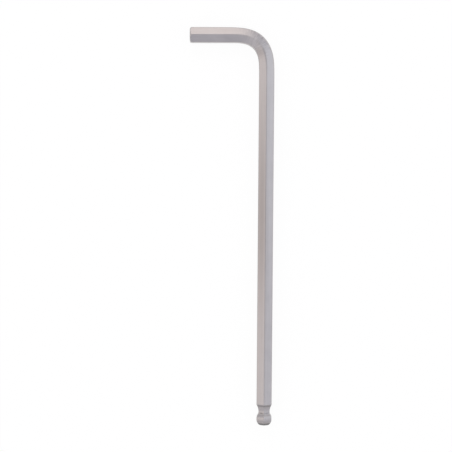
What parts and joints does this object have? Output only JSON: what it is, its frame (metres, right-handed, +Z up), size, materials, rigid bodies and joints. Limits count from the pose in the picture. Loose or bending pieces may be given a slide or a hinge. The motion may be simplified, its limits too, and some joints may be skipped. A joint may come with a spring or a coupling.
{
  "type": "hex key",
  "caption": "L-shaped key bent from hexagonal steel bar, with a chamfered short arm and a ball end on the long arm for driving socket screws at an angle.",
  "frame": {"origin": "centre of the box round the key, on the surface it lies on", "axes": "+Y along the long arm, from its ball towards the bend; the short arm points to -X; +Z up from the surface it lies on"},
  "size_m": [0.044, 0.208, 0.009],
  "materials": {
    "plated_steel": "satin nickel plating over drawn bar, with faint marks along the bar"
  },
  "bodies": {
    "root": {"hex_key": "plated_steel"}
  },
  "joints": []
}
